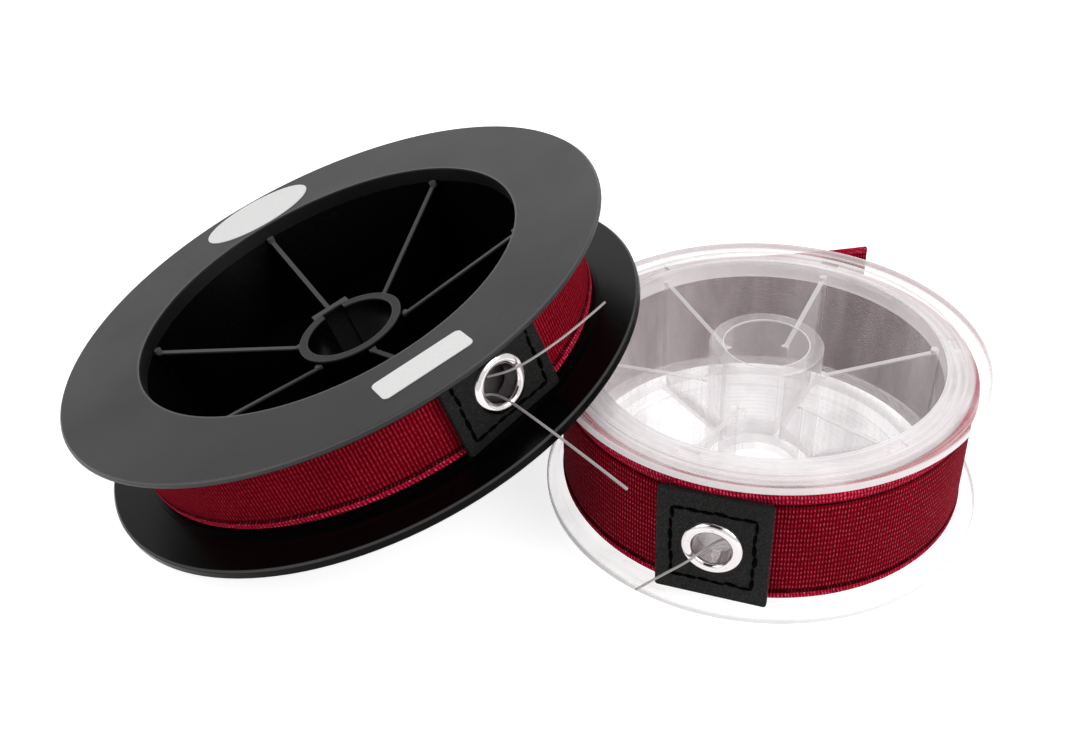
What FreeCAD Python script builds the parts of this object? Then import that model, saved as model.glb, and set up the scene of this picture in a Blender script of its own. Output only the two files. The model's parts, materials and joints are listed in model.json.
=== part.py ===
import FreeCAD, Part
import math
import os
import Sketcher

# A pair of fishing line winders. Each is a spool of line with an elastic band round it, and
# the line is drawn off through an eyelet in a patch on the band. The clear winder stands at
# the origin with its axis on +Z. The black one leans on the clear one's top rim.
#
# Every piece is drawn in its own winder's frame: the axis is Z, the underside is z = 0, and
# the band's patch faces -Y. Lengths are in millimetres and angles in degrees.

WINDERS = ("clear", "black")
PAD_SIDE_BOTH = "Symmetric"
TOLERANCE = Part.Precision.confusion()

# Driving dimensions. Names that start with a winder's name belong to that winder.
SIZES = {
    # Spool of the clear winder, from its top flange inwards
    "clear_height": 25.0,
    "clear_upper_diameter": 68.0,
    "clear_lower_overhang": 1.0,
    "clear_lower_wall": 1.4,
    "clear_upper_wall": 1.4,
    "clear_flange_width": 6.6,
    "clear_barrel_wall": 1.0,
    "clear_barrel_draft": 0.5,
    "clear_wound_depth": 0.6,
    "clear_ledge_margin": 1.1,
    "clear_ledge_height": 1.0,
    "clear_bore_radius": 6.6,
    "clear_hub_wall": 2.3,
    "clear_hub_rise": 1.2,
    "clear_rib_hub_drop": 6.6,
    "clear_rib_rim_drop": 1.3,
    "clear_rib_angle": -1.0,
    # Spool of the black winder
    "black_height": 18.7,
    "black_upper_diameter": 94.0,
    "black_lower_overhang": 0.5,
    "black_lower_wall": 1.7,
    "black_upper_wall": 1.1,
    "black_flange_width": 14.0,
    "black_barrel_wall": 1.75,
    "black_barrel_draft": 2.5,
    "black_wound_depth": 2.1,
    "black_ledge_margin": 0.7,
    "black_ledge_height": 0.8,
    "black_bore_radius": 7.65,
    "black_hub_wall": 1.5,
    "black_hub_rise": -9.4,
    "black_rib_hub_drop": 1.0,
    "black_rib_rim_drop": 2.6,
    "black_rib_angle": -1.0,
    # What both spools share
    "rib_wall": 0.8,
    "rib_post_radius": 0.65,
    "rib_post_rise": 0.4,
    "rib_post_inset": 0.4,
    "rib_end_inset": 0.5,
    "plug_wall": 0.6,
    "plug_depth": 1.6,
    "fit_gap": 0.05,
    "rim_chamfer": 0.35,
    "hub_chamfer": 0.3,
    "recess_depth": 0.5,
    "recess_margin": 1.5,
    # Raised ring, rim lip and latch recesses of the clear top flange
    "ring_width": 3.6,
    "ring_height": 0.35,
    "lip_width": 0.8,
    "latch_width": 3.2,
    "latch_depth": 0.6,
    "latch_inset": 1.0,
    "latch_length": 1.6,
    # Keyway in the black hub
    "key_width": 3.8,
    "key_depth": 1.15,
    # Elastic bands and their sewn tabs
    "clear_band_slack": 1.45,
    "clear_band_angle": -21.15,
    "clear_tab_length": 23.4,
    "black_band_slack": 1.6,
    "black_band_angle": 41.0,
    "black_tab_length": 20.0,
    "band_wall": 1.0,
    "band_gap": 0.2,
    "tab_wall": 2.0,
    "tab_stand_off": 1.2,
    "tab_angle": 21.0,
    "tab_seam": 10.0,
    "tab_low": 0.3,
    "tab_head": 0.7,
    # Patches and their stitches
    "clear_patch_width": 16.7,
    "clear_patch_foot": 0.0,
    "clear_patch_head": 1.9,
    "clear_stitch_side": 2.35,
    "clear_stitch_end": 3.05,
    "black_patch_width": 18.2,
    "black_patch_foot": 0.2,
    "black_patch_head": 0.3,
    "black_stitch_side": 1.95,
    "black_stitch_end": 1.8,
    "patch_wall": 1.0,
    "patch_gap": 0.05,
    "thread_width": 0.45,
    "thread_height": 0.25,
    # Eyelets and washers
    "clear_eyelet_offset": 0.15,
    "black_eyelet_offset": -0.2,
    "eyelet_bore": 2.9,
    "eyelet_rim": 1.7,
    "eyelet_rise": 0.75,
    "eyelet_bevel": 0.6,
    "eyelet_wall": 0.3,
    "washer_rim": 1.3,
    "washer_wall": 0.3,
    "washer_gap": 0.3,
    # Line and labels
    "line_diameter": 0.4,
    "label_wall": 0.12,
    "oval_length": 20.6,
    "oval_width": 12.4,
    "oval_offset": -0.3,
    "oval_angle": 117.2,
    "strip_length": 14.8,
    "strip_width": 5.2,
    "strip_corner": 0.9,
    "strip_offset": -0.8,
    "strip_angle": -60.8,
    # How the black winder leans on the clear one
    "lean_angle": 18.74,
    "lean_sideways": 13.15,
    "lean_gap": 0.2,
}
RIB_COUNT = 6

# What follows from them, worked out in the same sheet for each winder. @name is its own size.
DERIVED = {
    "mouth_radius": "@upper_diameter / 2 - @flange_width",
    "foot_radius": "@mouth_radius - @barrel_draft",
    "barrel_radius": "@mouth_radius + plug_wall + fit_gap + @barrel_wall",
    "wound_radius": "@barrel_radius + @wound_depth",
    "band_radius": "@wound_radius + @band_slack + band_wall",
    "ledge_radius": "@band_radius + @ledge_margin",
    "lower_radius": "@upper_diameter / 2 + @lower_overhang",
    "hub_radius": "@bore_radius + @hub_wall",
    "hub_height": "@height + @hub_rise",
    "rib_low": "@hub_height - @rib_hub_drop",
    "rib_high": "@height - @rib_rim_drop",
    "band_low": "@lower_wall + @ledge_height + band_gap",
    "band_high": "@height - @upper_wall - band_gap",
    "tab_rise": "@band_high - @band_low - tab_head",
    "patch_low": "@band_low + @patch_foot",
    "patch_height": "@band_high - @patch_head - @patch_low",
    "stitch_width": "@patch_width - @stitch_side * 2",
    "stitch_height": "@patch_height - @stitch_end * 2",
    "eyelet_height": "@patch_low + @patch_height / 2 + @eyelet_offset",
}

# Free ends of the line, point by point, as sideways, outwards and up from the axis in the
# band's own frame. Each starts on the wound line, under the band, and leaves by the eyelet.
CLEAR_TAIL = (
    (14.2, 26.5, 14.2),
    (10.2, 28.35, 13.7),
    (5.6, 29.6, 13.0),
    (1.3, 30.3, 12.1),
    (-0.9, 32.7, 11.5),
    (-3.1, 34.85, 10.0),
    (-7.7, 35.15, 5.7),
    (-10.7, 34.8, 2.2),
)
BLACK_LONG_TAIL = (
    (-11.7, 36.15, 8.8),
    (-8.1, 37.2, 8.65),
    (-4.3, 37.85, 8.4),
    (-1.7, 38.05, 8.05),
    (-0.5, 39.7, 7.65),
    (-0.75, 43.6, 7.6),
    (-2.05, 50.9, 7.65),
    (-4.05, 61.7, 7.65),
    (-6.2, 72.6, 7.6),
)
BLACK_SHORT_TAIL = (
    (-11.8, 36.1, 11.3),
    (-6.6, 37.45, 11.1),
    (-1.2, 38.2, 10.8),
    (1.8, 41.6, 10.6),
    (6.0, 43.6, 10.9),
    (13.3, 43.95, 10.45),
    (20.4, 42.9, 9.8),
)
TAIL_ARC_SHARE = 0.45
TAIL_SIDES = 8


doc = FreeCAD.newDocument("LineWinderPair")
sheet = doc.addObject("Spreadsheet::Sheet", "Sizes")
cells = [(name, str(value)) for name, value in SIZES.items()]
for each in WINDERS:
    own = each + "_"
    cells += [(own + name, "=" + formula.replace("@", own)) for name, formula in DERIVED.items()]
for row, (name, content) in enumerate(cells, start=1):
    sheet.set("A%d" % row, name)
    sheet.set("B%d" % row, content)
    sheet.setAlias("B%d" % row, name)
doc.recompute()

sub_parts = []


# Expressions and placements

def expression(winder, text):
    """Full expression, where @name is a size of this winder."""
    return text.replace("@", "Sizes." + winder + "_")


def number(winder, text):
    """The expression's value now, in millimetres or degrees."""
    result = sheet.evalExpression(expression(winder, text))
    return float(getattr(result, "Value", result))


def turned(angle):
    """A placement that turns about Z."""
    return FreeCAD.Placement(FreeCAD.Vector(), FreeCAD.Rotation(FreeCAD.Vector(0, 0, 1), angle))


def black_place():
    """The black winder's frame: its low rim is on the floor and its underside on the rim."""
    tilt = math.radians(number("black", "Sizes.lean_angle"))
    height = number("black", "@lower_radius - Sizes.rim_chamfer") * math.sin(tilt)
    rim_x = -number("clear", "@upper_diameter / 2")
    under_rim = number("clear", "@height") - height
    along = rim_x - (math.cos(tilt) * under_rim + number("black", "Sizes.lean_gap")) / math.sin(tilt)
    base = FreeCAD.Vector(along, number("black", "Sizes.lean_sideways"), height)
    return FreeCAD.Placement(base, FreeCAD.Rotation(FreeCAD.Vector(0, 1, 0), -math.degrees(tilt)))


def winder_place(winder):
    """Where a winder's frame stands."""
    return black_place() if winder == "black" else FreeCAD.Placement()


def spool_place(winder):
    """Where the parts of a spool stand: turned so that its ribs lie right."""
    return winder_place(winder).multiply(turned(number(winder, "@rib_angle")))


def band_place(winder):
    """Where a band and what is on it stand: turned so that the patch lies right."""
    return winder_place(winder).multiply(turned(number(winder, "@band_angle")))


# Sketches and features

def new_body(label):
    """A body with its own label, which is also the name of its file."""
    body = doc.addObject("PartDesign::Body", label)
    body.Label = label
    return body


def finish(body, place):
    """Recompute a sub-part, set its placement and note it for the export."""
    doc.recompute()
    body.Placement = place
    sub_parts.append(body)
    return body


def origin_item(body, role):
    """One of the body's own origin planes or axes, by its role."""
    for item in body.Origin.OriginFeatures:
        if item.Role == role:
            return item
    raise RuntimeError(body.Label + " has no " + role)


def new_sketch(body, winder, name, role, turn=None, shift=None):
    """A sketch on an origin plane, turned about Z or shifted along its normal if asked."""
    sketch = body.newObject("Sketcher::SketchObject", name)
    sketch.AttachmentSupport = [(origin_item(body, role), "")]
    sketch.MapMode = "FlatFace"
    if turn is not None:
        axis = FreeCAD.Vector(0, 0, 1) if role == "XY_Plane" else FreeCAD.Vector(0, 1, 0)
        rotation = FreeCAD.Rotation(axis, number(winder, turn))
        sketch.AttachmentOffset = FreeCAD.Placement(FreeCAD.Vector(), rotation)
    if shift is not None:
        sketch.setExpression("AttachmentOffset.Base.z", expression(winder, shift))
    return sketch


def bind_point(sketch, winder, line, end, along, across):
    """Hold one end of a line at two expressions, measured from the sketch's origin."""
    for kind, axis, text in (("DistanceX", -2, along), ("DistanceY", -1, across)):
        if text == "0":
            sketch.addConstraint(Sketcher.Constraint("PointOnObject", line, end, axis))
            continue
        place = number(winder, text)
        index = sketch.addConstraint(Sketcher.Constraint(kind, -1, 1, line, end, place))
        sketch.setExpression("Constraints[%d]" % index, expression(winder, text))


def add_outline(sketch, winder, corners):
    """A closed outline of straight lines whose corners are held at expressions."""
    spots = [FreeCAD.Vector(number(winder, a), number(winder, b), 0) for a, b in corners]
    lines = []
    for start, end in zip(spots, spots[1:] + spots[:1]):
        lines.append(sketch.addGeometry(Part.LineSegment(start, end), False))
    for line, following in zip(lines, lines[1:] + lines[:1]):
        sketch.addConstraint(Sketcher.Constraint("Coincident", line, 2, following, 1))
    for line, (along, across) in zip(lines, corners):
        bind_point(sketch, winder, line, 1, along, across)


def add_circle(sketch, winder, along, across, radius):
    """A circle whose centre and radius are held at expressions."""
    centre = FreeCAD.Vector(number(winder, along), number(winder, across), 0)
    up = FreeCAD.Vector(0, 0, 1)
    circle = sketch.addGeometry(Part.Circle(centre, up, number(winder, radius)), False)
    bind_point(sketch, winder, circle, 3, along, across)
    index = sketch.addConstraint(Sketcher.Constraint("Radius", circle, number(winder, radius)))
    sketch.setExpression("Constraints[%d]" % index, expression(winder, radius))


def box_corners(low_a, high_a, low_b, high_b):
    """Corners of an upright rectangle, from expressions."""
    return ((low_a, low_b), (high_a, low_b), (high_a, high_b), (low_a, high_b))


def revolve(body, sketch):
    """Turn a sketch's outline right round the sketch's upright axis."""
    feature = body.newObject("PartDesign::Revolution", "Revolution")
    feature.Profile = sketch
    feature.ReferenceAxis = (sketch, ["V_Axis"])
    feature.Angle = 360.0
    doc.recompute()
    return feature


def pad(body, winder, sketch, length, both_sides=False):
    """Raise a sketch along its normal, or to both sides of its plane."""
    feature = body.newObject("PartDesign::Pad", "Pad")
    feature.Profile = sketch
    if both_sides:
        feature.SideType = PAD_SIDE_BOTH
    feature.setExpression("Length", expression(winder, length))
    doc.recompute()
    return feature


def pocket(body, winder, sketch, length, reverse=False):
    """Cut a sketch into the body, and make sure that it takes something away."""
    before = body.Shape.Volume
    feature = body.newObject("PartDesign::Pocket", "Pocket")
    feature.Profile = sketch
    feature.Reversed = reverse
    feature.setExpression("Length", expression(winder, length))
    doc.recompute()
    if body.Shape.Volume >= before:
        raise RuntimeError(body.Label + ": a pocket cuts nothing")
    return feature


def ring_pattern(body, feature, count):
    """Repeat a feature round the body's Z axis."""
    pattern = body.newObject("PartDesign::PolarPattern", "PolarPattern")
    pattern.Originals = [feature]
    pattern.Axis = (origin_item(body, "Z_Axis"), [""])
    pattern.Angle = 360.0
    pattern.Occurrences = count
    body.Tip = pattern
    doc.recompute()
    return pattern


def circle_edges(shape, radius, height, axis="z"):
    """Names of the full circles of a radius at a height along the axis."""
    names = []
    for index, edge in enumerate(shape.Edges, start=1):
        if not isinstance(edge.Curve, Part.Circle):
            continue
        if abs(edge.Curve.Radius - radius) > TOLERANCE:
            continue
        if abs(getattr(edge.Curve.Center, axis) - height) < TOLERANCE:
            names.append("Edge%d" % index)
    return names


def upright_edges(shape):
    """Names of the straight edges that run along Z."""
    names = []
    for index, edge in enumerate(shape.Edges, start=1):
        if isinstance(edge.Curve, Part.Line) and abs(edge.Curve.Direction.z) > 1 - TOLERANCE:
            names.append("Edge%d" % index)
    return names


def dress(body, winder, kind, edges, size):
    """Fillet or chamfer the named edges of the body's last feature."""
    if not edges:
        raise RuntimeError(body.Label + ": no edges to " + kind.lower())
    base = body.Tip
    feature = body.newObject("PartDesign::" + kind, kind)
    feature.Base = (base, edges)
    feature.setExpression("Radius" if kind == "Fillet" else "Size", expression(winder, size))
    doc.recompute()
    return feature


# Spools

def add_ribs(body, winder):
    """Six ribs that slope down to the hub, each with a round post at either end."""
    barrel_end = "@mouth_radius - Sizes.rib_end_inset"
    under_plug = "@height - @upper_wall - Sizes.plug_depth - Sizes.fit_gap * 4"
    corners = (
        ("(@hub_radius + @bore_radius) / 2", "@lower_wall / 2"),
        ("@mouth_radius + Sizes.plug_wall / 2", "@lower_wall / 2"),
        ("@mouth_radius + Sizes.plug_wall / 2", under_plug),
        (barrel_end, under_plug),
        (barrel_end, "@rib_high"),
        ("@hub_radius", "@rib_low"),
        ("(@hub_radius + @bore_radius) / 2", "@rib_low"),
    )
    sketch = new_sketch(body, winder, "RibOutline", "XZ_Plane")
    add_outline(sketch, winder, corners)
    rib = pad(body, winder, sketch, "Sizes.rib_wall", both_sides=True)
    ring_pattern(body, rib, RIB_COUNT)
    ends = (
        ("@hub_radius + Sizes.rib_post_inset", "@rib_low + Sizes.rib_post_rise"),
        (barrel_end + " - Sizes.rib_post_inset", "@rib_high + Sizes.rib_post_rise"),
    )
    for name, (along, top) in zip(("HubPost", "RimPost"), ends):
        sketch = new_sketch(body, winder, name, "XY_Plane", shift="@lower_wall / 2")
        add_circle(sketch, winder, along, "0", "Sizes.rib_post_radius")
        post = pad(body, winder, sketch, top + " - @lower_wall / 2")
        ring_pattern(body, post, RIB_COUNT)


def add_keyway(body, winder):
    """A square keyway in the bore, with the hub's wall carried round it."""
    turn = str(360.0 / RIB_COUNT * 2)
    wall = "@hub_wall"
    half = "(Sizes.key_width / 2 + " + wall + ")"
    sketch = new_sketch(body, winder, "KeyHousing", "XY_Plane", turn=turn)
    reach = "@bore_radius + Sizes.key_depth"
    corners = box_corners("0", reach + " + " + wall, "-" + half, half)
    add_outline(sketch, winder, corners)
    pad(body, winder, sketch, "@hub_height")
    sketch = new_sketch(body, winder, "Bore", "XY_Plane")
    add_circle(sketch, winder, "0", "0", "@bore_radius")
    pocket(body, winder, sketch, "@hub_height + 1", reverse=True)
    sketch = new_sketch(body, winder, "Keyway", "XY_Plane", turn=turn)
    corners = box_corners("0", reach, "-Sizes.key_width / 2", "Sizes.key_width / 2")
    add_outline(sketch, winder, corners)
    pocket(body, winder, sketch, "@hub_height + 1", reverse=True)


def make_lower_half(winder):
    """Lower flange, barrel, hub and ribs in one moulding."""
    body = new_body(winder + "_lower_half")
    seat = "@mouth_radius + Sizes.plug_wall + Sizes.fit_gap"
    seat_low = "@height - @upper_wall - Sizes.plug_depth - Sizes.fit_gap"
    ledge = "@lower_wall + @ledge_height"
    corners = (
        ("@bore_radius", "0"),
        ("@hub_radius + Sizes.recess_margin", "0"),
        ("@hub_radius + Sizes.recess_margin", "Sizes.recess_depth"),
        ("@foot_radius - Sizes.recess_margin", "Sizes.recess_depth"),
        ("@foot_radius - Sizes.recess_margin", "0"),
        ("@lower_radius", "0"),
        ("@lower_radius", "@lower_wall"),
        ("@ledge_radius", "@lower_wall"),
        ("@ledge_radius", ledge),
        ("@barrel_radius", ledge),
        ("@barrel_radius", "@height - @upper_wall"),
        (seat, "@height - @upper_wall"),
        (seat, seat_low),
        ("@mouth_radius", seat_low),
        ("@foot_radius", "@lower_wall"),
        ("@hub_radius", "@lower_wall"),
        ("@hub_radius", "@hub_height"),
        ("@bore_radius", "@hub_height"),
    )
    sketch = new_sketch(body, winder, "Section", "XZ_Plane")
    add_outline(sketch, winder, corners)
    revolve(body, sketch)
    radius = number(winder, "@lower_radius")
    edges = circle_edges(body.Shape, radius, 0)
    edges += circle_edges(body.Shape, radius, number(winder, "@lower_wall"))
    dress(body, winder, "Chamfer", edges, "Sizes.rim_chamfer")
    add_ribs(body, winder)
    if winder == "black":
        add_keyway(body, winder)
    top = number(winder, "@hub_height")
    edges = circle_edges(body.Shape, number(winder, "@hub_radius"), top)
    if winder == "clear":
        dress(body, winder, "Chamfer", edges, "Sizes.hub_chamfer")
    return finish(body, spool_place(winder))


def make_upper_flange(winder):
    """Top flange with the plug that seats in the barrel."""
    body = new_body(winder + "_upper_flange")
    under = "@height - @upper_wall"
    plug = "@mouth_radius + Sizes.plug_wall"
    face = [("@mouth_radius", "@height"), ("@upper_diameter / 2", "@height")]
    if winder == "clear":
        low = "@height - Sizes.ring_height"
        lip = "@upper_diameter / 2 - Sizes.lip_width"
        ring = "@mouth_radius + Sizes.ring_width"
        face[1:1] = [(ring, "@height"), (ring, low), (lip, low), (lip, "@height")]
    corners = face + [
        ("@upper_diameter / 2", under),
        (plug, under),
        (plug, under + " - Sizes.plug_depth"),
        ("@mouth_radius", under + " - Sizes.plug_depth"),
    ]
    sketch = new_sketch(body, winder, "Section", "XZ_Plane")
    add_outline(sketch, winder, corners)
    revolve(body, sketch)
    radius = number(winder, "@upper_diameter / 2")
    edges = circle_edges(body.Shape, radius, number(winder, under))
    if winder == "black":
        edges += circle_edges(body.Shape, radius, number(winder, "@height"))
    dress(body, winder, "Chamfer", edges, "Sizes.rim_chamfer")
    if winder == "clear":
        sketch = new_sketch(body, winder, "LatchRecess", "XY_Plane", shift="@height")
        inner = "@mouth_radius + Sizes.latch_inset"
        half = "Sizes.latch_width / 2"
        corners = box_corners(inner, inner + " + Sizes.latch_length", "-" + half, half)
        add_outline(sketch, winder, corners)
        recess = pocket(body, winder, sketch, "Sizes.latch_depth")
        ring_pattern(body, recess, RIB_COUNT)
    return finish(body, spool_place(winder))


def make_wound_line(winder):
    """The line that is wound on the barrel, as one ring."""
    body = new_body(winder + "_wound_line")
    low = "@lower_wall + @ledge_height + Sizes.fit_gap"
    high = "@height - @upper_wall - Sizes.fit_gap"
    sketch = new_sketch(body, winder, "Section", "XZ_Plane")
    corners = box_corners("@barrel_radius + Sizes.fit_gap", "@wound_radius", low, high)
    add_outline(sketch, winder, corners)
    revolve(body, sketch)
    return finish(body, spool_place(winder))


# Bands and what is on them

PATCH_BACK = "@band_radius + Sizes.patch_gap"
PATCH_FACE = PATCH_BACK + " + Sizes.patch_wall"
BAND_BACK = "@band_radius - Sizes.band_wall"
BARREL_RADIUS = "Sizes.eyelet_bore + Sizes.eyelet_wall"
EYELET_RADIUS = "Sizes.eyelet_bore + Sizes.eyelet_rim"
WASHER_FACE = BAND_BACK + " - Sizes.washer_gap"


def make_band(winder):
    """The elastic band, whose ends are sewn into a tab that stands off tangentially."""
    body = new_body(winder + "_band")
    sketch = new_sketch(body, winder, "Section", "XZ_Plane")
    add_outline(sketch, winder, box_corners(BAND_BACK, "@band_radius", "@band_low", "@band_high"))
    revolve(body, sketch)
    sketch = new_sketch(body, winder, "Tab", "XY_Plane", turn="Sizes.tab_angle", shift="@band_low + Sizes.tab_low")
    outer = "@band_radius + Sizes.tab_stand_off"
    add_outline(sketch, winder, box_corners("0", "@tab_length", outer + " - Sizes.tab_wall", outer))
    pad(body, winder, sketch, "@tab_rise - Sizes.tab_low")
    sketch = new_sketch(body, winder, "EyeletHole", "XZ_Plane")
    add_circle(sketch, winder, "0", "@eyelet_height", BARREL_RADIUS + " + Sizes.fit_gap")
    pocket(body, winder, sketch, "@band_radius + 1", reverse=True)
    return finish(body, band_place(winder))


def make_tab_thread(winder):
    """The row of stitches that closes the tab, as one run of thread on its outer face."""
    body = new_body(winder + "_tab_thread")
    low = "@band_low + Sizes.tab_low * 3"
    sketch = new_sketch(body, winder, "Run", "XY_Plane", turn="Sizes.tab_angle", shift=low)
    inner = "@band_radius + Sizes.tab_stand_off"
    corners = box_corners("Sizes.tab_seam", "Sizes.tab_seam + Sizes.thread_width", inner, inner + " + Sizes.thread_height")
    add_outline(sketch, winder, corners)
    pad(body, winder, sketch, "@tab_rise - Sizes.tab_low * 5")
    return finish(body, band_place(winder))


def make_patch(winder):
    """The flat patch, with a hole for the eyelet's barrel."""
    body = new_body(winder + "_patch")
    sketch = new_sketch(body, winder, "Outline", "XZ_Plane", shift=PATCH_BACK)
    half = "@patch_width / 2"
    corners = box_corners("-" + half, half, "@patch_low", "@patch_low + @patch_height")
    add_outline(sketch, winder, corners)
    add_circle(sketch, winder, "0", "@eyelet_height", BARREL_RADIUS + " + Sizes.fit_gap")
    pad(body, winder, sketch, "Sizes.patch_wall")
    return finish(body, band_place(winder))


def make_patch_thread(winder):
    """The square of thread that holds the patch, lying on its face."""
    body = new_body(winder + "_patch_thread")
    sketch = new_sketch(body, winder, "Run", "XZ_Plane", shift=PATCH_FACE)
    middle = "@patch_low + @patch_height / 2"
    for edge in ("", " - Sizes.thread_width"):
        half = "(@stitch_width / 2" + edge + ")"
        rise = "(@stitch_height / 2" + edge + ")"
        corners = box_corners("-" + half, half, middle + " - " + rise, middle + " + " + rise)
        add_outline(sketch, winder, corners)
    pad(body, winder, sketch, "Sizes.thread_height")
    return finish(body, band_place(winder))


def make_eyelet(winder):
    """The eyelet: a barrel through patch and band, and its rim turned over the patch."""
    body = new_body(winder + "_eyelet")
    sketch = new_sketch(body, winder, "Section", "XY_Plane", shift="@eyelet_height")
    back = "-(" + WASHER_FACE + " - Sizes.washer_wall)"
    front = "-(" + PATCH_FACE + " + Sizes.eyelet_rise)"
    corners = (
        ("Sizes.eyelet_bore", back),
        ("Sizes.eyelet_bore", front),
        (EYELET_RADIUS, front),
        (EYELET_RADIUS, "-(" + PATCH_FACE + ")"),
        (BARREL_RADIUS, "-(" + PATCH_FACE + ")"),
        (BARREL_RADIUS, back),
    )
    add_outline(sketch, winder, corners)
    revolve(body, sketch)
    face = number(winder, front)
    edges = circle_edges(body.Shape, number(winder, "Sizes.eyelet_bore"), face, "y")
    edges += circle_edges(body.Shape, number(winder, EYELET_RADIUS), face, "y")
    dress(body, winder, "Chamfer", edges, "Sizes.eyelet_bevel")
    return finish(body, band_place(winder))


def make_washer(winder):
    """The flat washer behind the band, round the end of the eyelet's barrel."""
    body = new_body(winder + "_eyelet_washer")
    sketch = new_sketch(body, winder, "Section", "XY_Plane", shift="@eyelet_height")
    inner = BARREL_RADIUS + " + Sizes.fit_gap"
    back = "-(" + WASHER_FACE + " - Sizes.washer_wall)"
    outer = "Sizes.eyelet_bore + Sizes.washer_rim"
    corners = box_corners(inner, outer, back, "-(" + WASHER_FACE + ")")
    add_outline(sketch, winder, corners)
    revolve(body, sketch)
    return finish(body, band_place(winder))


# Free ends of the line

def rounded_path(points):
    """Straight runs joined by tangent arcs, and the smallest arc's radius."""
    edges = []
    radii = []
    start = points[0]
    for before, corner, after in zip(points, points[1:], points[2:]):
        to_before = before - corner
        to_after = after - corner
        trim = TAIL_ARC_SHARE * min(to_before.Length, to_after.Length)
        half_turn = (math.pi - to_before.getAngle(to_after)) / 2
        radii.append(trim / math.tan(half_turn))
        to_before.normalize()
        to_after.normalize()
        bisector = (to_before + to_after).normalize()
        centre = corner + bisector * (radii[-1] / math.cos(half_turn))
        entry = corner + to_before * trim
        leaving = corner + to_after * trim
        middle = centre - bisector * radii[-1]
        edges.append(Part.LineSegment(start, entry).toShape())
        edges.append(Part.Arc(entry, middle, leaving).toShape())
        start = leaving
    edges.append(Part.LineSegment(start, points[-1]).toShape())
    return Part.Wire(edges), min(radii)


def line_section(centre, direction, radius):
    """The line's section as a polygon of few sides, with the round line's area."""
    step = 2 * math.pi / TAIL_SIDES
    reach = radius * math.sqrt(step / math.sin(step))
    facing = FreeCAD.Placement(centre, FreeCAD.Rotation(FreeCAD.Vector(0, 0, 1), direction))
    corners = [
        facing.multVec(FreeCAD.Vector(reach * math.cos(step * side), reach * math.sin(step * side), 0))
        for side in range(TAIL_SIDES)
    ]
    return Part.makePolygon(corners + corners[:1])


def make_tail(winder, label, route):
    """A free end of the line, as a tube along its route."""
    points = [FreeCAD.Vector(side, -out, up) for side, out, up in route]
    wire, tightest = rounded_path(points)
    radius = number(winder, "Sizes.line_diameter") / 2
    section = line_section(points[0], points[1] - points[0], radius)
    shell = wire.makePipeShell([section], True, False)
    exact = math.pi * radius ** 2 * wire.Length
    print("%s: length %.2f, tightest radius %.2f" % (label, wire.Length, tightest))
    if abs(shell.Volume - exact) > 0.02 * exact:
        raise RuntimeError(label + ": the tube's volume is not its section times its length")
    tail = doc.addObject("Part::Feature", label)
    tail.Label = label
    tail.Shape = shell
    return finish(tail, band_place(winder))


# Labels on the black top flange

FLANGE_MIDDLE = "(@mouth_radius + @upper_diameter / 2) / 2"


def make_oval_label():
    """A bare oval of paper."""
    half_length = number("black", "Sizes.oval_length / 2")
    half_width = number("black", "Sizes.oval_width / 2")
    edge = Part.Ellipse(FreeCAD.Vector(), half_length, half_width).toShape()
    height = FreeCAD.Vector(0, 0, number("black", "Sizes.label_wall"))
    label = doc.addObject("Part::Feature", "oval_label")
    label.Label = "oval_label"
    label.Shape = Part.Face(Part.Wire(edge)).extrude(height)
    across = number("black", FLANGE_MIDDLE + " + Sizes.oval_offset")
    middle = FreeCAD.Placement(FreeCAD.Vector(0, across, number("black", "@height")), FreeCAD.Rotation())
    turn = turned(number("black", "Sizes.oval_angle") - 90)
    return finish(label, winder_place("black").multiply(turn).multiply(middle))


def make_strip_label():
    """A bare strip of paper with rounded corners."""
    body = new_body("strip_label")
    sketch = new_sketch(body, "black", "Outline", "XY_Plane", shift="@height")
    half = "Sizes.strip_length / 2"
    rise = "Sizes.strip_width / 2"
    centre = FLANGE_MIDDLE + " + Sizes.strip_offset"
    add_outline(sketch, "black", box_corners("-" + half, half, centre + " - " + rise, centre + " + " + rise))
    pad(body, "black", sketch, "Sizes.label_wall")
    dress(body, "black", "Fillet", upright_edges(body.Shape), "Sizes.strip_corner")
    turn = turned(number("black", "Sizes.strip_angle") - 90)
    return finish(body, winder_place("black").multiply(turn))


def check(part):
    """Stop if a sub-part or any feature in it failed."""
    for item in doc.Objects:
        if "Invalid" in item.State or "Error" in item.State:
            raise RuntimeError(item.Label + " failed: " + ", ".join(item.State))
    if part.Shape.isNull() or not part.Shape.isValid():
        raise RuntimeError(part.Label + " has no valid shape")


for winder_name in WINDERS:
    make_lower_half(winder_name)
    make_upper_flange(winder_name)
    make_wound_line(winder_name)
    make_band(winder_name)
    make_tab_thread(winder_name)
    make_patch(winder_name)
    make_patch_thread(winder_name)
    make_eyelet(winder_name)
    make_washer(winder_name)
make_tail("clear", "clear_line_tail", CLEAR_TAIL)
make_tail("black", "black_line_tail_long", BLACK_LONG_TAIL)
make_tail("black", "black_line_tail_short", BLACK_SHORT_TAIL)
make_oval_label()
make_strip_label()
doc.recompute()

os.makedirs("parts", exist_ok=True)
for sub_part in sub_parts:
    check(sub_part)
for sub_part in sub_parts:
    sub_part.Shape.exportStep("parts/" + sub_part.Label + ".step")
    box = sub_part.Shape.BoundBox
    print("%-24s solids %d  volume %9.2f  z %.2f to %.2f" % (
        sub_part.Label, len(sub_part.Shape.Solids), sub_part.Shape.Volume, box.ZMin, box.ZMax))
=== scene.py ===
import json
import math
import random
from types import SimpleNamespace

import bmesh
import bpy
from bpy.props import FloatProperty, FloatVectorProperty, IntProperty, PointerProperty
from mathutils import Matrix, Vector, noise


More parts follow.
